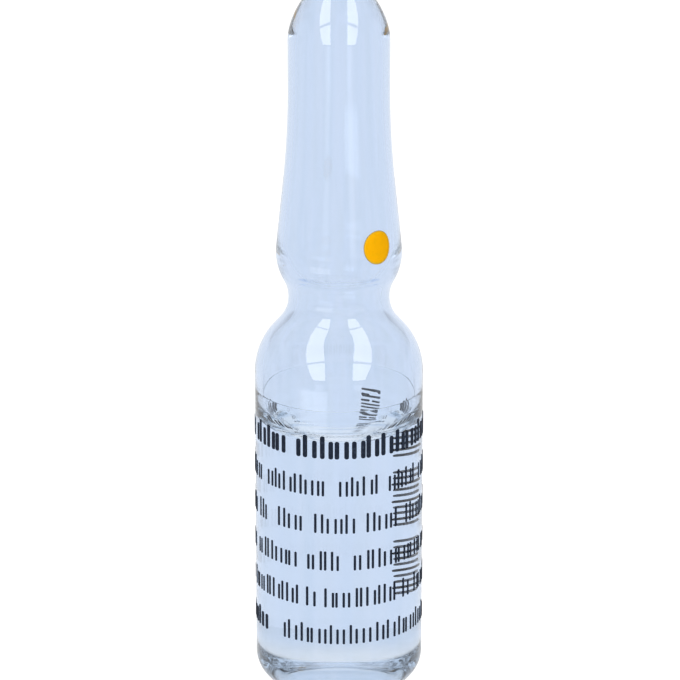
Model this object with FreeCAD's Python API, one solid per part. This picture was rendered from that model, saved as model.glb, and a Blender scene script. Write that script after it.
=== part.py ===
import FreeCAD, Part
import math
import os

# A sealed one millilitre glass ampoule, drawn from one tube, filled and flame sealed, with
# its opening dot and its fired print. Millimetres, +Z up, origin under the middle of the
# base. The front faces -Y, and turns about the axis are counted from there towards +X.

# Outside of the glass
body_diameter = 10.75
shoulder_height = 21.1        # top of the straight wall
shoulder_radius = 4.32        # round of the shoulder
shoulder_straight = 0.69      # short cone between the shoulder and the neck
neck_diameter = 6.45          # narrowest place, where it is broken open
neck_radius = 2.39            # hollow of the neck
bulb_diameter = 8.02
bulb_radius = 3.67            # round of the bulb
taper_straight = 4.25         # cone above the bulb
flare_radius = 57.8           # long hollow that leads into the stem
stem_diameter = 6.43
stem_straight = 3.09
tip_bend_radius = 2.5         # small bend where the flame began to close the stem
tip_bend_angle = 12.0
tip_radius = 5.35             # long round of the tip
tip_nose_radius = 1.8         # end of the tip, where the flame sealed it
heel_radius = 2.0
rest_ring_width = 0.4         # flat ring that it stands on
push_up = 0.5                 # height of the hollow under the base
push_up_lip_radius = 1.5      # round between that hollow and the ring

# Thickness of the glass
body_wall = 0.5
base_wall = 0.6
inner_heel_radius = 1.8       # more glass gathers in the heel than in the wall
neck_wall = 0.65
bulb_wall = 0.5
stem_wall = 0.48
tip_wall = 0.3                # drawn thin as the stem was pulled off
nose_wall = 0.45
cavity_nose_radius = 2.4

# Solution
fill_height = 20.0            # where the solution meets the wall
contact_angle = 2.5           # between its surface and the wall
wet_film = 0.7                # thin film that it leaves on the wall above the hollow
meniscus_radius = 9.5         # hollow middle of its surface
meniscus_edge_radius = 1.9    # tighter round up to the film

# Opening dot, of fired enamel
dot_diameter = 2.15
dot_angle = 38.7              # round from the front
dot_above_bulb = 1.15         # above the widest place of the bulb
dot_thickness = 0.05

# Print, of fired ink: each word is one plain field
ink_thickness = 0.03
top_row_height = 16.95        # foot of the top row
row_pitch = 2.51
top_letter_height = 1.5
letter_height = 1.3
row_fields = (                # where the fields of each row begin and end, in degrees
    ((-116, -82), (-74, -39), (-30, 12), (15, 22), (25, 88), (96, 118)),
    ((-112, -66), (-57, -10), (0, 27), (36, 62), (70, 112)),
    ((-116, -76), (-69, -59), (-46, -26), (-17, 11), (19, 43), (52, 84), (92, 116)),
    ((-118, -80), (-71, -30), (-22, 0), (10, 82), (91, 114)),
    ((-110, -90), (-80, -29), (-23, -16), (-10, 42), (49, 56), (63, 108)),
    ((-116, -58), (-41, 18), (21, 28), (31, 86), (95, 112)),
)

# Batch print: a narrow column of ink up the back
batch_angle = 154.5           # round from the front
batch_width = 1.55
batch_foot = 4.6
batch_field_count = 3
batch_field_length = 3.8
batch_field_gap = 1.0

front_turn = -90.0            # the front, counted from +X
axis_foot = FreeCAD.Vector(0, 0, 0)
upwards = FreeCAD.Vector(0, 0, 1)


def sine(angle):
    return math.sin(math.radians(angle))


def cosine(angle):
    return math.cos(math.radians(angle))


def slope_between(round_radius, hollow_radius, straight, step):
    # Lean of the straight that joins a round to a hollow, which lie a step apart in radius.
    both = round_radius + hollow_radius
    lean = math.acos((both - step) / math.hypot(both, straight)) - math.atan2(straight, both)
    return math.degrees(lean)


class Surface:
    # The sizes of one surface of the glass. Each argument sets a stretch of it in from the
    # outside, and a negative one sets it out.
    def __init__(self, body=0.0, neck=0.0, bulb=0.0, stem=0.0, tip=0.0, nose=tip_nose_radius):
        self.body = body_diameter / 2 - body
        self.shoulder = shoulder_radius - body
        self.neck = neck_diameter / 2 - neck
        self.neck_hollow = neck_radius + neck
        self.bulb = bulb_diameter / 2 - bulb
        self.bulb_round = bulb_radius - bulb
        self.stem = stem_diameter / 2 - stem
        self.flare = flare_radius + stem
        self.tip_bend = tip_bend_radius - stem
        self.tip = tip_radius - tip
        self.nose = nose
        self.shoulder_slope = slope_between(self.shoulder, self.neck_hollow,
                                            shoulder_straight, self.body - self.neck)
        self.swell_slope = slope_between(self.bulb_round, self.neck_hollow,
                                         0.0, self.bulb - self.neck)
        self.taper_slope = slope_between(self.bulb_round, self.flare,
                                         taper_straight, self.bulb - self.stem)


class Outline:
    # Half of a section, walked from the axis outwards and up. The heading is the lean of the
    # walk from upright: above 0 it leans in towards the axis, and -90 runs straight out.
    def __init__(self, radius, height, heading):
        self.radius = radius
        self.height = height
        self.heading = heading
        self.edges = []

    def point(self):
        return FreeCAD.Vector(self.radius, 0, self.height)

    def line_to(self, radius, height):
        start = self.point()
        self.radius = radius
        self.height = height
        self.edges.append(Part.LineSegment(start, self.point()).toShape())

    def straight(self, length):
        self.line_to(self.radius - length * sine(self.heading),
                     self.height + length * cosine(self.heading))

    def turn(self, arc_radius, heading):
        # An arc that leaves along the old heading and ends along the new one.
        reach = arc_radius if heading > self.heading else -arc_radius
        centre_radius = self.radius - reach * cosine(self.heading)
        centre_height = self.height - reach * sine(self.heading)
        middle_heading = (self.heading + heading) / 2
        middle = FreeCAD.Vector(centre_radius + reach * cosine(middle_heading), 0,
                                centre_height + reach * sine(middle_heading))
        start = self.point()
        self.radius = centre_radius + reach * cosine(heading)
        self.height = centre_height + reach * sine(heading)
        self.heading = heading
        self.edges.append(Part.Arc(start, middle, self.point()).toShape())

    def solid(self):
        # Closed down the axis, and turned once round it.
        first = self.edges[0].Vertexes[0].Point
        closing = Part.LineSegment(self.point(), first).toShape()
        return Part.Face(Part.Wire(self.edges + [closing])).revolve(axis_foot, upwards, 360)


def start_base(level, heel, body):
    # Hollow middle, flat ring and heel, from the axis out to the straight wall.
    ring_outer = body - heel
    ring_inner = ring_outer - rest_ring_width
    lean = 2 * math.degrees(math.atan2(push_up, ring_inner))
    dome_radius = ring_inner / sine(lean) - push_up_lip_radius
    outline = Outline(0.0, level + push_up, -90)
    outline.turn(dome_radius, -90 - lean)
    outline.turn(push_up_lip_radius, -90)
    outline.line_to(ring_outer, level)
    outline.turn(heel, 0)
    return outline


def inner_base():
    return start_base(base_wall, inner_heel_radius, body_diameter / 2 - body_wall)


def climb_to_stem(outline, surface):
    # From the top of the straight wall over the shoulder, the neck and the bulb.
    outline.turn(surface.shoulder, surface.shoulder_slope)
    outline.straight(shoulder_straight)
    outline.turn(surface.neck_hollow, -surface.swell_slope)
    outline.turn(surface.bulb_round, surface.taper_slope)
    outline.straight(taper_straight)
    outline.turn(surface.flare, 0)


def close_tip(outline, surface):
    # The long round of the tip runs into its nose, whose centre lies on the axis.
    outline.turn(surface.tip_bend, tip_bend_angle)
    past_axis = surface.tip * cosine(tip_bend_angle) - outline.radius
    nose_heading = math.degrees(math.acos(past_axis / (surface.tip - surface.nose)))
    outline.turn(surface.tip, nose_heading)
    outline.turn(surface.nose, 90)


def tip_rise(surface):
    # How far the tip rises above the end of its stem.
    outline = Outline(surface.stem, 0.0, 0)
    close_tip(outline, surface)
    return outline.height


def stem_end():
    # Height at which the outside of the stem stops being straight.
    surface = Surface()
    outline = Outline(surface.body, shoulder_height, 0)
    climb_to_stem(outline, surface)
    return outline.height + stem_straight


def bulb_height():
    # Height of the widest place of the bulb.
    surface = Surface()
    return (shoulder_height
            + (surface.shoulder + surface.neck_hollow) * sine(surface.shoulder_slope)
            + shoulder_straight * cosine(surface.shoulder_slope)
            + (surface.neck_hollow + surface.bulb_round) * sine(surface.swell_slope))


def finish(outline, surface, stem_top):
    # Everything above the base, turned into a solid.
    outline.line_to(surface.body, shoulder_height)
    climb_to_stem(outline, surface)
    outline.line_to(surface.stem, stem_top)
    close_tip(outline, surface)
    return outline.solid()


def glass_ampoule():
    outside = Surface()
    inside = Surface(body_wall, neck_wall, bulb_wall, stem_wall, tip_wall, cavity_nose_radius)
    cavity_stem_top = stem_end() + tip_rise(outside) - nose_wall - tip_rise(inside)
    form = finish(start_base(0.0, heel_radius, outside.body), outside, stem_end())
    return form.cut(finish(inner_base(), inside, cavity_stem_top))


def solution():
    # Fills the cavity up to a hollow surface, which climbs the wall in a tighter round and
    # ends in a thin film.
    climb = 90 - contact_angle
    outline = inner_base()
    outline.line_to(outline.radius, fill_height)
    outline.heading = 90 + climb
    outline.straight(wet_film)
    share = ((outline.radius - meniscus_edge_radius * sine(climb))
             / (meniscus_radius - meniscus_edge_radius))
    outline.turn(meniscus_edge_radius, 90 + math.degrees(math.asin(share)))
    outline.turn(meniscus_radius, 90)
    return outline.solid()


def form_above_heel(growth):
    # The outside from the heel to the tip, set out all over by a growth.
    surface = Surface(-growth, -growth, -growth, -growth, -growth, tip_nose_radius + growth)
    outline = Outline(0.0, heel_radius, 0)
    outline.line_to(surface.body, heel_radius)
    return finish(outline, surface, stem_end())


def opening_dot():
    # A round film of enamel, laid on the cone above the bulb.
    surface = Surface()
    lean = surface.taper_slope
    round_top = bulb_height() + surface.bulb_round * sine(lean)
    round_end = surface.bulb - surface.bulb_round * (1 - cosine(lean))
    height = bulb_height() + dot_above_bulb
    radius = round_end - (height - round_top) * sine(lean) / cosine(lean)
    turn = front_turn + dot_angle
    seat = FreeCAD.Vector(radius * cosine(turn), radius * sine(turn), height)
    outwards = FreeCAD.Vector(cosine(turn) * cosine(lean), sine(turn) * cosine(lean), sine(lean))
    punch = Part.makeCylinder(dot_diameter / 2, dot_diameter,
                              seat - outwards * (dot_diameter / 2), outwards)
    return punch.common(form_above_heel(dot_thickness)).cut(form_above_heel(0.0))


def ink_field(foot, top, start_turn, end_turn):
    # A film of ink on the straight wall, between two heights and two turns.
    inner = body_diameter / 2
    outer = inner + ink_thickness
    corners = [FreeCAD.Vector(inner, 0, foot), FreeCAD.Vector(outer, 0, foot),
               FreeCAD.Vector(outer, 0, top), FreeCAD.Vector(inner, 0, top)]
    section = Part.Face(Part.makePolygon(corners + corners[:1]))
    section.rotate(axis_foot, upwards, front_turn + start_turn)
    return section.revolve(axis_foot, upwards, end_turn - start_turn)


def label_print():
    fields = []
    for row, spans in enumerate(row_fields):
        foot = top_row_height - row * row_pitch
        tall = top_letter_height if row == 0 else letter_height
        for start_turn, end_turn in spans:
            fields.append(ink_field(foot, foot + tall, start_turn, end_turn))
    return Part.makeCompound(fields)


def batch_print():
    half_turn = math.degrees(batch_width / body_diameter)
    fields = []
    for step in range(batch_field_count):
        foot = batch_foot + step * (batch_field_length + batch_field_gap)
        fields.append(ink_field(foot, foot + batch_field_length,
                                batch_angle - half_turn, batch_angle + half_turn))
    return Part.makeCompound(fields)


nodes = {
    "glass_ampoule": glass_ampoule,
    "solution": solution,
    "opening_dot": opening_dot,
    "label_print": label_print,
    "batch_print": batch_print,
}

os.makedirs("parts", exist_ok=True)
for name, build in nodes.items():
    shape = build()
    shape.exportStep("parts/" + name + ".step")
    print(name, "solids", len(shape.Solids), "volume", round(shape.Volume, 2),
          "valid", shape.isValid(), "top", round(shape.BoundBox.ZMax, 3))
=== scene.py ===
import math
import bmesh
import bpy
from mathutils import Matrix, Vector


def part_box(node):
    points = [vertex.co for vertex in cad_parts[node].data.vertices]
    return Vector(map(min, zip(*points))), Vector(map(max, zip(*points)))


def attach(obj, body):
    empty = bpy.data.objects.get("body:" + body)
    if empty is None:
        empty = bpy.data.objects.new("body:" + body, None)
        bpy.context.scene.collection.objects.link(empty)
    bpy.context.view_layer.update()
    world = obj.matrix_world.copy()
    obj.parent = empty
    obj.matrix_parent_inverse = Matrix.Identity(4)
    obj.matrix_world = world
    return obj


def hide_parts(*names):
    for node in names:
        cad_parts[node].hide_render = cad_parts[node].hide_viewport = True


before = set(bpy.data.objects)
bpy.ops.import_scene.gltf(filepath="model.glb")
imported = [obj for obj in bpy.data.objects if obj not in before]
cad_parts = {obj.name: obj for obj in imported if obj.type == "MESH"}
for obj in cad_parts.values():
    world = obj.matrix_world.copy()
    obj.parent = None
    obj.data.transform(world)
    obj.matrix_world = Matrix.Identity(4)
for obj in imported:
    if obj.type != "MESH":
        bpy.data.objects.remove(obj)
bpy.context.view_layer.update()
scene = bpy.context.scene
mm = 0.001                                    # the sizes below are in millimetres
nearAxis = 1e-6                               # a point this near to the axis is on it
samePoint = 1e-5                              # two points this near are one
smoothBelow = 40.0                            # degrees; a sharper edge shades as an edge
print("frame loaded:", len(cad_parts), "nodes")


# Nodes of a finish

class Value:
    # One output of a node, so that maths on it can be written out.
    def __init__(self, finish, socket):
        self.finish = finish
        self.socket = socket

    def maths(self, operation, first, second):
        return self.finish.node("ShaderNodeMath", {"operation": operation}, {0: first, 1: second})

    def __add__(self, other):
        return self.maths("ADD", self, other)

    def __radd__(self, other):
        return self.maths("ADD", other, self)

    def __sub__(self, other):
        return self.maths("SUBTRACT", self, other)

    def __rsub__(self, other):
        return self.maths("SUBTRACT", other, self)

    def __mul__(self, other):
        return self.maths("MULTIPLY", self, other)

    def __rmul__(self, other):
        return self.maths("MULTIPLY", other, self)

    def __abs__(self):
        return self.maths("ABSOLUTE", self, 0.0)

    def reach(self, centre):
        # How far this place is from a centre.
        return self.finish.node("ShaderNodeVectorMath", {"operation": "DISTANCE"},
                                {0: self, 1: centre}, "Value")

    def axis(self, name):
        return self.finish.node("ShaderNodeSeparateXYZ", {}, {"Vector": self}, name)

    def above(self, low, high):
        # 0 below low, 1 above high, smooth in between.
        return self.finish.node("ShaderNodeMapRange", {"interpolation_type": "SMOOTHSTEP"},
                                {"Value": self, "From Min": low, "From Max": high})


class Finish:
    # One material, or the world, and the one way its nodes are made.
    def __init__(self, name, world=None):
        self.owner = world or bpy.data.materials.new(name)
        self.owner.use_nodes = True
        self.tree = self.owner.node_tree
        self.tree.nodes.clear()
        self.output = self.tree.nodes.new("ShaderNodeOutputWorld" if world
                                          else "ShaderNodeOutputMaterial")

    def node(self, kind, settings=None, inputs=None, output=0):
        made = self.tree.nodes.new(kind)
        for name, setting in (settings or {}).items():
            setattr(made, name, setting)
        for name, given in (inputs or {}).items():
            if isinstance(given, Value):
                self.tree.links.new(given.socket, made.inputs[name])
            else:
                made.inputs[name].default_value = given
        return Value(self, made.outputs[output])

    def place(self, stretch=(1, 1, 1)):
        # Object coordinates in millimetres, stretched for long or flat patterns.
        spot = self.node("ShaderNodeTexCoord", output="Object")
        scale = [part / mm for part in stretch]
        return self.node("ShaderNodeMapping", {"vector_type": "POINT"},
                         {"Vector": spot, "Scale": scale})

    def noise(self, stretch, scale, detail=2.0, roughness=0.5):
        return self.node("ShaderNodeTexNoise", {},
                         {"Vector": self.place(stretch), "Scale": scale, "Detail": detail,
                          "Roughness": roughness})

    def mix(self, share, first, second):
        made = self.tree.nodes.new("ShaderNodeMix")
        made.data_type = "RGBA"
        for socket, given in ((made.inputs[0], share), (made.inputs[6], first),
                              (made.inputs[7], second)):
            if isinstance(given, Value):
                self.tree.links.new(given.socket, socket)
            else:
                socket.default_value = given
        return Value(self, made.outputs[2])

    def bump(self, height, strength, depth):
        return self.node("ShaderNodeBump", {}, {"Height": height, "Strength": strength,
                                                "Distance": depth * mm})

    def ray(self, kind):
        # 1 for one kind of ray and 0 for the others.
        return self.node("ShaderNodeLightPath", output="Is " + kind + " Ray")

    def bearing(self, up, along):
        # The angle that a rise and a run make, in degrees.
        return self.node("ShaderNodeMath", {"operation": "ARCTAN2"},
                         {0: up, 1: along}) * math.degrees(1)

    def glow(self, shade, strength):
        return self.node("ShaderNodeEmission", {}, {"Color": shade, "Strength": strength})

    def blend(self, share, first, second):
        # The first shader where the share is 0, the second where it is 1.
        return self.node("ShaderNodeMixShader", {}, {0: share, 1: first, 2: second})

    def finished(self, shader):
        self.tree.links.new(shader.socket, self.output.inputs["Surface"])
        return self.owner


def colour(red, green, blue):
    # A screen colour, 0 to 255, as the light that it stands for.
    def light(part):
        part = part / 255
        return part / 12.92 if part <= 0.04045 else ((part + 0.055) / 1.055) ** 2.4
    return (light(red), light(green), light(blue), 1.0)


# Outlines, walked by operators

class Walk:
    # Half of a round section in the XZ plane. The heading is the lean from upright: above 0
    # it leans in towards the axis, and -90 runs straight out.
    def __init__(self, radius, height, heading, pitch):
        self.mesh = bmesh.new()
        self.last = self.mesh.verts.new((radius, 0, height))
        self.heading = heading
        self.pitch = pitch

    def steps(self, length):
        return max(1, math.ceil(abs(length) / self.pitch))

    def lineTo(self, radius, height):
        start = self.last.co.copy()
        end = Vector((radius, 0, height))
        count = self.steps((end - start).length)
        for step in range(count):
            added = bmesh.ops.extrude_vert_indiv(self.mesh, verts=[self.last])
            self.last = added["verts"][0]
            self.last.co = start.lerp(end, (step + 1) / count)

    def straight(self, length):
        lean = math.radians(self.heading)
        self.lineTo(self.last.co.x - length * math.sin(lean),
                    self.last.co.z + length * math.cos(lean))

    def turn(self, arcRadius, heading):
        # An arc that leaves along the old heading and ends along the new one, in steps half as
        # long as a straight's.
        reach = arcRadius if heading > self.heading else -arcRadius
        lean = math.radians(self.heading)
        centre = self.last.co - reach * Vector((math.cos(lean), 0, math.sin(lean)))
        swing = math.radians(heading - self.heading)
        made = bmesh.ops.spin(self.mesh, geom=[self.last], cent=centre, axis=(0, -1, 0),
                              angle=swing, steps=self.steps(arcRadius * swing * 2),
                              use_merge=False, use_duplicate=False)
        self.last = [part for part in made["geom_last"] if isinstance(part, bmesh.types.BMVert)][0]
        self.heading = heading

    def turned(self, segments, inwards=False):
        # The section turned once round the axis, with its faces outwards or into a hollow.
        made = self.mesh
        for vert in made.verts:
            if abs(vert.co.x) < nearAxis:
                vert.co.x = 0
        bmesh.ops.spin(made, geom=made.verts[:] + made.edges[:], cent=(0, 0, 0), axis=(0, 0, 1),
                       angle=2 * math.pi, steps=segments, use_merge=True, use_duplicate=False)
        bmesh.ops.remove_doubles(made, verts=made.verts[:], dist=samePoint)
        bmesh.ops.recalc_face_normals(made, faces=made.faces[:])
        if inwards:
            bmesh.ops.reverse_faces(made, faces=made.faces[:])
        return made


def addTo(mesh, part):
    # Moves one bmesh into another.
    copied = bpy.data.meshes.new("part")
    part.to_mesh(copied)
    part.free()
    mesh.from_mesh(copied)
    bpy.data.meshes.remove(copied)


def objectFrom(name, mesh, materials):
    # A mesh in millimetres, made an object in metres that sits at the origin.
    bmesh.ops.scale(mesh, vec=(mm, mm, mm), verts=mesh.verts[:])
    data = bpy.data.meshes.new(name)
    mesh.to_mesh(data)
    mesh.free()
    for material in materials:
        data.materials.append(material)
    made = bpy.data.objects.new(name, data)
    scene.collection.objects.link(made)
    return made


def pieceFrom(name, mesh, materials, node):
    # A finished piece, smooth but for its sharp edges, that rides on the part.
    for face in mesh.faces:
        face.smooth = True
    for edge in mesh.edges:
        edge.smooth = not edge.is_manifold or edge.calc_face_angle() < math.radians(smoothBelow)
    piece = objectFrom(name, mesh, materials)
    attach(piece, "root")
    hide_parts(node)
    print(name, len(piece.data.polygons), "faces")


# Glass

# The same sizes as in the CAD.
glass = {
    "bodyRadius": 5.375,
    "shoulderHeight": 21.1,                   # top of the straight wall
    "shoulderRadius": 4.32,
    "shoulderStraight": 0.69,                 # short cone between the shoulder and the neck
    "neckRadius": 3.225,
    "neckHollow": 2.39,
    "bulbRadius": 4.01,
    "bulbRound": 3.67,
    "taperStraight": 4.25,                    # cone above the bulb
    "flareRadius": 57.8,                      # long hollow that leads into the stem
    "stemRadius": 3.215,
    "stemStraight": 3.09,
    "tipBend": 2.5,                           # small bend where the tip begins
    "tipBendAngle": 12.0,
    "tipRadius": 5.35,                        # long round of the tip
    "tipNose": 1.8,                           # and its end, where it was sealed
    "heelRadius": 2.0,
    "restRing": 0.4,                          # width of the flat ring that it stands on
    "pushUp": 0.5,                            # height of the hollow under the base
    "pushUpLip": 1.5,                         # round between that hollow and the ring
    "bodyWall": 0.5,
    "baseWall": 0.6,
    "innerHeel": 1.8,
    "neckWall": 0.65,
    "bulbWall": 0.5,
    "stemWall": 0.48,
    "tipWall": 0.3,
    "noseWall": 0.45,
    "cavityNose": 2.4,                        # round at the top of the cavity
    "pitch": 0.4,                             # length of one step along the outline
    "segments": 192,
    "ior": 1.5,
    "wetIor": 1.125,                          # glass as seen from the solution
    "tint": colour(204, 220, 245),            # of light that goes in and comes out again
    "deepTint": colour(199, 216, 240),        # in the drawn lines
    "clear": colour(255, 255, 255),
    "clearDim": colour(251, 253, 255),
    "shadedHeel": colour(238, 240, 240),       # painted shade: the heel's glass is coloured a little darker, for the shade seen through the base
    # painted shade, in the heel's drawn lines
    "shadedHeelDim": colour(231, 235, 237),
    "tintFoot": (0.2, 1.6),                   # heights between which the outer tint fades
    "paintedFootLight": 0.8,                          # painted light: share of that tint that is gone at the foot, so the base looks brighter
    "drawnLines": ((1, 1, 0.02), 1.6, 1.0),   # long lines left by drawing the tube
    "deepFrom": (0.3, 0.7),
    "waves": ((1, 1, 0.35), 0.35, 0.0),       # slow waviness of the wall
    "waveHeight": 3.0,                        # against the height of the lines
    "bump": (0.05, 0.02),                     # strength and depth
    "smudges": ((1, 1, 1), 0.45, 3.0, 0.6),
    "smudgeFrom": (0.55, 0.8),
    "smudgeRoughness": 0.012,
}

fill = {
    "height": 20.0,                           # where it meets the wall
    "contactAngle": 2.5,
    "film": 0.7,                              # wet film on the wall above the hollow
    "middleRadius": 9.5,                      # hollow middle of its surface
    "edgeRadius": 1.9,                        # tighter round up to the film
    "intoGlass": 0.02,                        # its skin lies this far inside the wall
    "edgeBead": 0.06,                         # round of the wet edge on the wall
    "beadSteps": 3,                           # steps in the bead's own radius
    "pitch": 0.3,
    "ior": 1.335,
    "sideIor": 1.0,                           # the wet wall bends the light there
    "clear": colour(255, 255, 255),
    "cloudy": colour(252, 254, 255),
    "clouds": ((1, 1, 1), 0.25, 1.0),
}


def slopeBetween(roundRadius, hollowRadius, straight, step):
    # Lean of the straight that joins a round to a hollow, which lie a step apart in radius.
    both = roundRadius + hollowRadius
    lean = math.acos((both - step) / math.hypot(both, straight)) - math.atan2(straight, both)
    return math.degrees(lean)


def surface(body=0.0, neck=0.0, bulb=0.0, stem=0.0, tip=0.0, nose=glass["tipNose"]):
    # The sizes of one surface of the glass, each stretch set in by its wall.
    sizes = {
        "body": glass["bodyRadius"] - body,
        "shoulder": glass["shoulderRadius"] - body,
        "neck": glass["neckRadius"] - neck,
        "neckHollow": glass["neckHollow"] + neck,
        "bulb": glass["bulbRadius"] - bulb,
        "bulbRound": glass["bulbRound"] - bulb,
        "stem": glass["stemRadius"] - stem,
        "flare": glass["flareRadius"] + stem,
        "tipBend": glass["tipBend"] - stem,
        "tip": glass["tipRadius"] - tip,
        "nose": nose,
    }
    sizes["shoulderSlope"] = slopeBetween(sizes["shoulder"], sizes["neckHollow"],
                                          glass["shoulderStraight"], sizes["body"] - sizes["neck"])
    sizes["swellSlope"] = slopeBetween(sizes["bulbRound"], sizes["neckHollow"],
                                       0.0, sizes["bulb"] - sizes["neck"])
    sizes["taperSlope"] = slopeBetween(sizes["bulbRound"], sizes["flare"],
                                       glass["taperStraight"], sizes["bulb"] - sizes["stem"])
    return sizes


outside = surface()
inside = surface(glass["bodyWall"], glass["neckWall"], glass["bulbWall"], glass["stemWall"],
                 glass["tipWall"], glass["cavityNose"])


def startBase(level, heel, body, sunk=0.0):
    # Hollow middle, flat ring and heel, from the axis out to the straight wall. A sunk one
    # lies a little inside the glass all the way.
    ringOuter = body - heel
    ringInner = ringOuter - glass["restRing"]
    lean = 2 * math.degrees(math.atan2(glass["pushUp"], ringInner))
    dome = ringInner / math.sin(math.radians(lean)) - glass["pushUpLip"]
    walk = Walk(0.0, level + glass["pushUp"] - sunk, -90, glass["pitch"])
    walk.turn(dome, -90 - lean)
    walk.turn(glass["pushUpLip"], -90)
    walk.lineTo(ringOuter, level - sunk)
    walk.turn(heel + sunk, 0)
    return walk


def climbToStem(walk, sizes):
    walk.turn(sizes["shoulder"], sizes["shoulderSlope"])
    walk.straight(glass["shoulderStraight"])
    walk.turn(sizes["neckHollow"], -sizes["swellSlope"])
    walk.turn(sizes["bulbRound"], sizes["taperSlope"])
    walk.straight(glass["taperStraight"])
    walk.turn(sizes["flare"], 0)


def closeTip(walk, sizes):
    # The tip's long round has its centre past the axis, so a tighter one closes it.
    walk.turn(sizes["tipBend"], glass["tipBendAngle"])
    pastAxis = sizes["tip"] * math.cos(math.radians(glass["tipBendAngle"])) - walk.last.co.x
    noseHeading = math.degrees(math.acos(pastAxis / (sizes["tip"] - sizes["nose"])))
    walk.turn(sizes["tip"], noseHeading)
    walk.turn(sizes["nose"], 90)


def heightAfter(move, sizes, radius, height=0.0):
    # Where a stretch of outline ends, walked on a scrap of mesh.
    walk = Walk(radius, height, 0, glass["pitch"])
    move(walk, sizes)
    end = walk.last.co.z
    walk.mesh.free()
    return end


stemEnd = (heightAfter(climbToStem, outside, outside["body"], glass["shoulderHeight"])
           + glass["stemStraight"])
tipHeight = stemEnd + heightAfter(closeTip, outside, outside["stem"])
cavityTop = tipHeight - glass["noseWall"]
cavityStemEnd = cavityTop - heightAfter(closeTip, inside, inside["stem"])
bulbHeight = (glass["shoulderHeight"]
              + (outside["shoulder"] + outside["neckHollow"])
              * math.sin(math.radians(outside["shoulderSlope"]))
              + glass["shoulderStraight"] * math.cos(math.radians(outside["shoulderSlope"]))
              + (outside["neckHollow"] + outside["bulbRound"])
              * math.sin(math.radians(outside["swellSlope"])))


def wholeOutline(walk, sizes, stemTop):
    walk.lineTo(sizes["body"], fill["height"])
    walk.lineTo(sizes["body"], glass["shoulderHeight"])
    climbToStem(walk, sizes)
    walk.lineTo(sizes["stem"], stemTop)
    closeTip(walk, sizes)
    return walk


def glassFinish(name, pale, deep, ior, paintedFootLight=0.0):
    # The outer surface carries the tint, so thick and thin glass look alike.
    finish = Finish(name)
    lines = finish.noise(*glass["drawnLines"])
    waves = finish.noise(*glass["waves"])
    smudge = finish.noise(*glass["smudges"]).above(*glass["smudgeFrom"])
    tint = finish.mix(lines.above(*glass["deepFrom"]), pale, deep)
    # painted light: the tint fades towards the foot, so the base looks brighter
    if paintedFootLight:
        low = 1.0 - finish.place().axis("Z").above(*glass["tintFoot"])
        tint = finish.mix(low * paintedFootLight, tint, glass["clear"])
    return finish.finished(finish.node("ShaderNodeBsdfPrincipled", {}, {
        "Base Color": tint,
        "Roughness": smudge * glass["smudgeRoughness"],
        "IOR": ior,
        "Transmission Weight": 1.0,
        "Normal": finish.bump(lines + waves * glass["waveHeight"], *glass["bump"]),
    }))


def makeGlass():
    outer = wholeOutline(startBase(0.0, glass["heelRadius"], outside["body"]), outside, stemEnd)
    base = startBase(glass["baseWall"], glass["innerHeel"], inside["body"])
    inner = wholeOutline(base, inside, cavityStemEnd)
    mesh = outer.turned(glass["segments"])
    cavity = inner.turned(glass["segments"], inwards=True)
    outerSkin, dryWall, wetWall, wetHeelShade = range(4)
    for face in mesh.faces:
        face.material_index = outerSkin
    for face in cavity.faces:
        spot = face.calc_center_median()
        inHeel = (spot.z < glass["baseWall"] + glass["innerHeel"]
                  and spot.xy.length > inside["body"] - glass["innerHeel"])
        wet = spot.z < fill["height"]
        face.material_index = wetHeelShade if inHeel else wetWall if wet else dryWall
    addTo(mesh, cavity)
    pieceFrom("ampouleGlass", mesh, [
        glassFinish("clearGlass", glass["tint"], glass["deepTint"], glass["ior"],
                    glass["paintedFootLight"]),
        glassFinish("dryWall", glass["clear"], glass["clearDim"], glass["ior"]),
        glassFinish("wetWall", glass["clear"], glass["clearDim"], glass["wetIor"]),
        # painted shade: the wet heel's finish is a little darker than the rest of the cavity
        glassFinish("wetHeelShade", glass["shadedHeel"], glass["shadedHeelDim"], glass["wetIor"]),
    ], "glass_ampoule")


makeGlass()


# Solution

def solutionFinish(name, ior):
    finish = Finish(name)
    clouds = finish.noise(*fill["clouds"])
    return finish.finished(finish.node("ShaderNodeBsdfPrincipled", {}, {
        "Base Color": finish.mix(clouds, fill["clear"], fill["cloudy"]),
        "Roughness": 0.0,
        "IOR": ior,
        "Transmission Weight": 1.0,
    }))


def makeSolution():
    # Up the wall, a hair's breadth inside the glass, then over the hollow surface.
    sunk = fill["intoGlass"]
    climb = 90 - fill["contactAngle"]
    walk = startBase(glass["baseWall"], glass["innerHeel"], inside["body"], sunk)
    walk.lineTo(inside["body"] + sunk, fill["height"])
    walk.lineTo(inside["body"], fill["height"])
    walk.heading = 90
    walk.pitch = fill["edgeBead"] / fill["beadSteps"]
    walk.turn(fill["edgeBead"], 90 + climb)
    walk.pitch = fill["pitch"]
    walk.straight(fill["film"])
    slopeSine = ((walk.last.co.x - fill["edgeRadius"] * math.sin(math.radians(climb)))
                 / (fill["middleRadius"] - fill["edgeRadius"]))     # where the two rounds meet
    walk.turn(fill["edgeRadius"], 90 + math.degrees(math.asin(slopeSine)))
    walk.turn(fill["middleRadius"], 90)
    mesh = walk.turned(glass["segments"])
    top, side = range(2)
    for face in mesh.faces:
        spot = face.calc_center_median()
        inGlass = spot.xy.length > inside["body"] or spot.z < glass["baseWall"] + glass["innerHeel"]
        face.material_index = side if inGlass else top
    pieceFrom("solutionFill", mesh, [
        solutionFinish("solutionTop", fill["ior"]),
        solutionFinish("solutionSide", fill["sideIor"]),
    ], "solution")


makeSolution()


# Fired print

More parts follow.
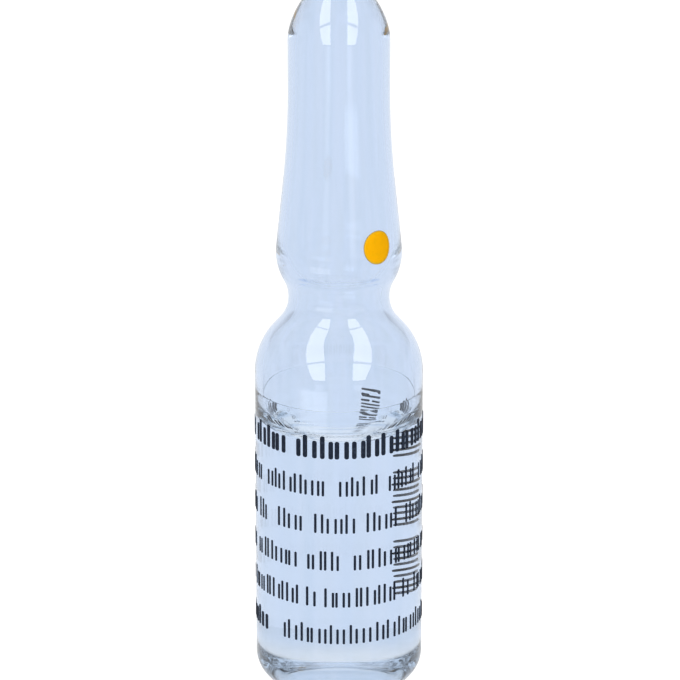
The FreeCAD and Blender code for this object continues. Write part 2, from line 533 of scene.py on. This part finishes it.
ink = {
    "thickness": 0.03,
    "sunk": 0.012,                            # its foot lies this far inside the glass
    "colour": colour(25, 34, 50),
    "thin": colour(52, 62, 80),               # where the ink lies thin
    "thinFrom": (0.5, 0.75),
    "patches": ((1, 1, 1), 5.0, 3.0, 0.6),
    "roughness": (0.6, 0.2),                  # least, and how much more in patches
    "gloss": 0.12,
    "bump": (0.3, 0.004),                     # strength and depth
    "boldFrom": 16.5,                         # rows with a foot above this are bold
    "lowRow": 5.0,                            # the lowest row has its foot below this
    "lowRowBold": -50.0,                      # and is bold up to this turn
    "boldStroke": 0.3,
    "stroke": 0.16,
    "boldPitch": 0.5,
    "pitch": 0.4,
    "tallFrom": 0.4,                          # of a wave along the row; its crests are tall
    "lowShare": 0.78,                         # of the height of a tall stroke
    "sway": 0.35,                             # how uneven the spacing is, as a share of the gap
    "rounding": 0.4,                          # of a stroke's width or height, the lesser one
    "roundSteps": 3,
    "splitEvery": 3,                          # in the column, one stroke in three is split
    "halfPlaces": (-0.28, 0.28),              # middles of its halves, and how wide they are,
    "halfWidth": 0.44,                        # as shares of a whole stroke
    "joinWithin": 0.001,                      # joins the loose triangles of a CAD node
}


def inkFinish():
    finish = Finish("firedInk")
    patches = finish.noise(*ink["patches"])
    least, more = ink["roughness"]
    return finish.finished(finish.node("ShaderNodeBsdfPrincipled", {}, {
        "Base Color": finish.mix(patches.above(*ink["thinFrom"]), ink["colour"], ink["thin"]),
        "Roughness": least + patches * more,
        "Specular IOR Level": ink["gloss"],
        "Normal": finish.bump(patches, *ink["bump"]),
    }))


def fieldsOf(node):
    # The fields of print on a CAD node, from the top row down: the turns and heights that each
    # one lies between.
    copied = bmesh.new()
    copied.from_mesh(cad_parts[node].data)
    bmesh.ops.remove_doubles(copied, verts=copied.verts[:], dist=ink["joinWithin"] * mm)
    waiting = set(copied.verts)
    fields = []
    while waiting:
        reached = [waiting.pop()]
        island = []
        while reached:
            vert = reached.pop()
            island.append(vert.co.copy())
            near = {link.other_vert(vert) for link in vert.link_edges} & waiting
            waiting -= near
            reached.extend(near)
        turns = [math.degrees(math.atan2(spot.x, -spot.y)) for spot in island]
        heights = [spot.z / mm for spot in island]
        fields.append((min(turns), max(turns), min(heights), max(heights)))
    copied.free()
    return sorted(fields, key=lambda field: (-round(field[2], 1), field[0]))


def addStroke(mesh, turn, foot, top, width):
    # One rounded stroke of ink that stands on the wall at a turn from the front.
    verts = bmesh.ops.create_cube(mesh, size=1)["verts"]
    deep = ink["thickness"] + ink["sunk"]
    bmesh.ops.scale(mesh, vec=(width, deep, top - foot), verts=verts)
    corners = [edge for edge in {link for vert in verts for link in vert.link_edges}
               if abs(edge.verts[0].co.y - edge.verts[1].co.y) > deep / 2]
    made = bmesh.ops.bevel(mesh, geom=corners, offset=min(width, top - foot) * ink["rounding"],
                           offset_type="OFFSET", affect="EDGES", segments=ink["roundSteps"],
                           profile=0.5, material=-1)
    verts = list({vert for face in made["faces"] for vert in face.verts} | {
        vert for vert in verts if vert.is_valid})
    outwards = glass["bodyRadius"] + ink["thickness"] - deep / 2
    bmesh.ops.translate(mesh, vec=(0, -outwards, (foot + top) / 2), verts=verts)
    bmesh.ops.rotate(mesh, cent=(0, 0, 0), verts=verts,
                     matrix=Matrix.Rotation(math.radians(turn), 3, "Z"))


def addField(mesh, field):
    # Fills a field with strokes at the pitch and weight of its row.
    start, end, foot, top = field
    bold = foot > ink["boldFrom"] or (foot < ink["lowRow"] and end < ink["lowRowBold"])
    width = ink["boldStroke"] if bold else ink["stroke"]
    pitch = ink["boldPitch"] if bold else ink["pitch"]
    perDegree = math.radians(1) * glass["bodyRadius"]
    length = (end - start) * perDegree
    count = max(1, round((length - width) / pitch)) + 1
    inset = width / 2 / perDegree
    for index in range(count):
        share = index / max(1, count - 1)
        turn = start + inset + share * (end - start - 2 * inset)
        if 0 < index < count - 1:
            turn += ink["sway"] * (pitch - width) * math.sin(index ** 2 + foot) / perDegree
        tall = math.cos(index ** 2 + foot) > ink["tallFrom"]
        height = (top - foot) * (1.0 if tall else ink["lowShare"])
        addStroke(mesh, turn, foot, foot + height, width)


def makeLabelPrint():
    mesh = bmesh.new()
    for field in fieldsOf("label_print"):
        addField(mesh, field)
    bmesh.ops.recalc_face_normals(mesh, faces=mesh.faces[:])
    return mesh


def makeBatchPrint():
    # A column of level strokes, one above the other.
    mesh = bmesh.new()
    perDegree = math.radians(1) * glass["bodyRadius"]
    for start, end, foot, top in fieldsOf("batch_print"):
        count = max(1, round((top - foot - ink["stroke"]) / ink["pitch"]))
        middle = (start + end) / 2
        width = (end - start) * perDegree
        for index in range(count + 1):
            low = foot + (top - foot - ink["stroke"]) * index / count
            split = index % ink["splitEvery"] == 1
            for place in ink["halfPlaces"] if split else (0,):
                addStroke(mesh, middle + place * (end - start), low, low + ink["stroke"],
                          width * (ink["halfWidth"] if split else 1.0))
    bmesh.ops.recalc_face_normals(mesh, faces=mesh.faces[:])
    return mesh


inkMaterial = inkFinish()
pieceFrom("labelPrint", makeLabelPrint(), [inkMaterial], "label_print")
pieceFrom("batchPrint", makeBatchPrint(), [inkMaterial], "batch_print")


# Opening dot

dot = {
    "diameter": 2.15,
    "turn": 38.7,
    "aboveBulb": 1.15,
    "thickness": 0.05,
    "sunk": 0.015,                            # its rim lies this far inside the glass
    "lateFall": 8,                            # power; a higher one stays flat for longer
    "rings": 12,
    "segments": 64,
    "joinWithin": 1e-4,                       # joins the rims of the two discs
    "colour": colour(253, 181, 0),
    "fleck": colour(247, 177, 0),
    "rim": colour(232, 186, 48),
    "rimFrom": (0.42, 0.5),                   # from the middle, as shares of the diameter
    "flecks": ((1, 1, 1), 3.0, 3.0, 0.6),
    "fleckFrom": (0.45, 0.7),
    "roughness": (0.55, 0.2),                 # least, and how much more in flecks
    "gloss": 0.05,
    "bump": (0.4, 0.01),                      # strength and depth
}


def dotFinish():
    finish = Finish("firedEnamel")
    low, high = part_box("opening_dot")
    middle = (low + high) / 2 / mm
    rimStart, rimEnd = (dot["diameter"] * share for share in dot["rimFrom"])
    rim = finish.place().reach(middle).above(rimStart, rimEnd)
    flecks = finish.noise(*dot["flecks"])
    body = finish.mix(flecks.above(*dot["fleckFrom"]), dot["colour"], dot["fleck"])
    least, more = dot["roughness"]
    return finish.finished(finish.node("ShaderNodeBsdfPrincipled", {}, {
        "Base Color": finish.mix(rim, body, dot["rim"]),
        "Roughness": least + flecks * more,
        "Specular IOR Level": dot["gloss"],
        "Normal": finish.bump(flecks, *dot["bump"]),
    }))


def radiusAbove(height):
    # Outer radius of the glass at a height on the bulb or on the cone above it.
    slope = math.radians(outside["taperSlope"])
    roundTop = bulbHeight + outside["bulbRound"] * math.sin(slope)
    if height < roundTop:
        rise = height - bulbHeight
        return outside["bulb"] - outside["bulbRound"] + math.sqrt(outside["bulbRound"] ** 2
                                                                  - rise ** 2)
    roundEnd = outside["bulb"] - outside["bulbRound"] * (1 - math.cos(slope))
    return roundEnd - (height - roundTop) * math.tan(slope)


def layDot(mesh, verts, thickness):
    # Bends a flat disc on to the cone: its middle stands proud, its rim is inside the glass.
    radius = dot["diameter"] / 2
    height = bulbHeight + dot["aboveBulb"]
    lean = math.radians(outside["taperSlope"])
    tilt = Matrix.Rotation(math.radians(90) - lean, 3, "X")
    around = Matrix.Rotation(math.radians(dot["turn"]), 3, "Z")
    seat = Vector((0, -radiusAbove(height), height))
    for vert in verts:
        fall = min(1, vert.co.xy.length / radius) ** dot["lateFall"]
        proud = thickness * (1 - fall) - dot["sunk"] * fall
        spot = tilt @ vert.co + seat
        out = spot.xy.normalized()
        ground = radiusAbove(spot.z)
        vert.co = around @ Vector((out.x * (ground + proud * math.cos(lean)),
                                   out.y * (ground + proud * math.cos(lean)),
                                   spot.z + proud * math.sin(lean)))


def makeOpeningDot():
    # Two discs of rings that meet at the rim.
    radius = dot["diameter"] / 2
    mesh = bmesh.new()
    for thickness in (dot["thickness"], -dot["sunk"]):
        disc = bmesh.ops.create_circle(mesh, cap_ends=True, radius=radius,
                                       segments=dot["segments"])["verts"]
        middle = list({face for vert in disc for face in vert.link_faces})
        made = []
        for ring in range(dot["rings"] - 1):
            made += bmesh.ops.inset_region(mesh, faces=middle, thickness=radius / dot["rings"],
                                           use_boundary=True, use_even_offset=True)["faces"]
        made += bmesh.ops.poke(mesh, faces=middle)["faces"]
        layDot(mesh, list({vert for face in made for vert in face.verts}), thickness)
    bmesh.ops.remove_doubles(mesh, verts=mesh.verts[:], dist=dot["joinWithin"])
    bmesh.ops.recalc_face_normals(mesh, faces=mesh.faces[:])
    return mesh


pieceFrom("openingDot", makeOpeningDot(), [dotFinish()], "opening_dot")


# Stage, light and camera

view = {
    "distance": 280.0,
    "elevation": 18.32,                       # degrees above level
    "aimHeight": 23.1,
    "sideways": 0.067,                        # the glass stands a pixel left of the middle
    "focalPixels": 4393.0,
    "framePixels": 680.0,
    "sensor": 36.0,
    "clipStart": 10.0,                        # nothing nearer to the camera than this shows
}

stage = {
    "floorSize": 3000.0,
    "floorDrop": 0.01,
    "floorColour": colour(250, 251, 253),
    "grainColour": colour(240, 243, 248),
    "grain": ((1, 1, 1), 0.02, 2.0),
    "grainShare": 0.05,
    "floorGlow": 1.85,
    "glowShare": 0.5,                         # of the floor that the camera sees; the rest is lit
    "worldLight": 0.2,
    "skyInGlass": 0.68,                       # of a low band of sky to the sides, in bent light
    "bandFoot": (0.0, 0.1),                   # rise of a direction where the band begins
    "bandTop": (0.26, 0.36),
    "bandSides": (0.2, 0.6),
    "sheen": 3.0,                             # brightest floor, seen in reflections only
    "streakTurn": 26.0,                       # one streak of sheen to each side
    "streakHalf": (3.0, 8.0),
    "streakFoot": (100.0, 140.0),
    "streakShare": 0.3,
    "patchFoot": (57.0, 58.4),                # and a patch on the left
    "patchTop": (95.0, 120.0),
    "patchLeft": (-58.0, -46.0),
    "patchRight": (-18.0, -13.0),
    "patchShare": 0.7,
    "bounces": 64,                            # light crosses many walls before it leaves
}

panels = {
    "distance": 300.0,
    "inner": 0.315,                           # how far to the side, as a share of the distance
    "outer": 0.675,
    "pinch": 0.12,                            # narrower than that away from the middle
    "pinchMiddle": 45.0,
    "pinchReach": 40.0,
    "low": 8.0,                               # degrees up from level at the front
    "high": 84.0,
    "facesAcross": 6,
    "facesOver": 24,
    "strength": 3.9,
    "mirrored": 5.9,                          # how bright it is in reflections
    "seam": 40.5,                             # the seam across the cloth, in degrees from level
    "seamHalf": (1.2, 2.8),
    "seamColour": colour(120, 120, 120),
}

black = (0, 0, 0, 1)
white = (1, 1, 1, 1)


def makeCamera():
    data = bpy.data.cameras.new("camera")
    data.sensor_width = view["sensor"]
    data.lens = view["focalPixels"] / view["framePixels"] * view["sensor"]
    data.clip_start = view["clipStart"] * mm
    camera = bpy.data.objects.new("camera", data)
    lean = math.radians(view["elevation"])
    back = Vector((0, -math.cos(lean), math.sin(lean)))
    aim = Vector((view["sideways"], 0, view["aimHeight"])) * mm
    camera.location = aim + back * view["distance"] * mm
    camera.rotation_euler = (-back).to_track_quat("-Z", "Y").to_euler()
    scene.collection.objects.link(camera)
    scene.camera = camera


def floorFinish():
    # Lit and glowing to the camera, white in bent light, and white with sheen in reflections.
    finish = Finish("paleFloor")
    grain = finish.noise(*stage["grain"]) * stage["grainShare"]
    lit = finish.node("ShaderNodeBsdfDiffuse", {}, {
        "Color": finish.mix(grain, stage["floorColour"], stage["grainColour"])})
    glossy = finish.ray("Glossy")
    inGlass = (finish.ray("Transmission") + glossy).above(0.0, 1.0)
    spot = finish.place()
    away = spot.reach((0, 0, 0))
    turn = finish.bearing(spot.axis("X"), 0.0 - spot.axis("Y"))
    streak = 1.0 - abs(abs(turn) - stage["streakTurn"]).above(*stage["streakHalf"])
    streak = streak * away.above(*stage["streakFoot"]) * stage["streakShare"]
    patch = ((away.above(*stage["patchFoot"]) - away.above(*stage["patchTop"]))
             * (turn.above(*stage["patchLeft"]) - turn.above(*stage["patchRight"])))
    sheen = (streak + patch * stage["patchShare"]) * glossy
    shining = finish.glow(finish.mix(sheen, white, (stage["sheen"],) * 3 + (1,)), 1.0)
    plain = finish.blend(finish.ray("Camera") * stage["glowShare"], lit,
                         finish.glow(white, stage["floorGlow"]))
    return finish.finished(finish.blend(inGlass, plain, shining))


def makeFloor():
    mesh = bmesh.new()
    bmesh.ops.create_grid(mesh, x_segments=1, y_segments=1, size=stage["floorSize"] / 2)
    bmesh.ops.translate(mesh, vec=(0, 0, -stage["floorDrop"]), verts=mesh.verts[:])
    objectFrom("floor", mesh, [floorFinish()])


def makeWorld():
    # White to the camera and in reflections, with a grey band for light that the glass bends
    # to the sides.
    scene.world = bpy.data.worlds.new("studio")
    light = Finish("studio", scene.world)
    way = light.node("ShaderNodeTexCoord", output="Generated")
    rise = way.axis("Z")
    band = rise.above(*stage["bandFoot"]) - rise.above(*stage["bandTop"])
    sky = 1.0 - band * abs(way.axis("X")).above(*stage["bandSides"]) * (1 - stage["skyInGlass"])
    seen = (light.ray("Camera") + light.ray("Glossy")).above(0.0, 1.0)
    plain = stage["worldLight"] + seen * (1 - stage["worldLight"])
    level = plain + (sky - plain) * light.ray("Transmission")
    light.finished(light.node("ShaderNodeBackground", {}, {
        "Color": light.mix(level, black, white), "Strength": 1.0}))


def panelFinish():
    finish = Finish("softPanel")
    spot = finish.place()
    over = finish.bearing(spot.axis("Z") - view["aimHeight"], 0.0 - spot.axis("Y"))
    cloth = finish.mix(abs(over - panels["seam"]).above(*panels["seamHalf"]),
                       panels["seamColour"], white)
    return finish.finished(finish.blend(finish.ray("Glossy"),
                                        finish.glow(cloth, panels["strength"]),
                                        finish.glow(cloth, panels["mirrored"])))


def makePanels():
    # Two bowed soft boxes, left and right, that reach from the front over the top. Neither the
    # camera nor light that the glass bends sees them.
    material = panelFinish()
    for side, name in ((-1, "leftPanel"), (1, "rightPanel")):
        mesh = bmesh.new()
        bmesh.ops.create_grid(mesh, x_segments=panels["facesAcross"],
                              y_segments=panels["facesOver"], size=0.5)
        for vert in mesh.verts:
            over = panels["low"] + (panels["high"] - panels["low"]) * (vert.co.y + 0.5)
            fromMiddle = (over - panels["pinchMiddle"]) / panels["pinchReach"]
            outer = panels["outer"] - panels["pinch"] * fromMiddle ** 2
            across = panels["inner"] + (outer - panels["inner"]) * (vert.co.x + 0.5)
            along = math.sqrt(1 - across ** 2)
            lean = math.radians(over)
            vert.co = Vector((side * across, -along * math.cos(lean), along * math.sin(lean)))
        bmesh.ops.scale(mesh, vec=[panels["distance"]] * 3, verts=mesh.verts[:])
        bmesh.ops.translate(mesh, vec=(0, 0, view["aimHeight"]), verts=mesh.verts[:])
        panel = objectFrom(name, mesh, [material])
        panel.visible_camera = False
        panel.visible_transmission = False


makeFloor()
makeWorld()
makePanels()
makeCamera()
scene.view_settings.view_transform = "Standard"
scene.cycles.max_bounces = stage["bounces"]
scene.cycles.transmission_bounces = stage["bounces"]
scene.cycles.glossy_bounces = stage["bounces"]
print("stage ready")
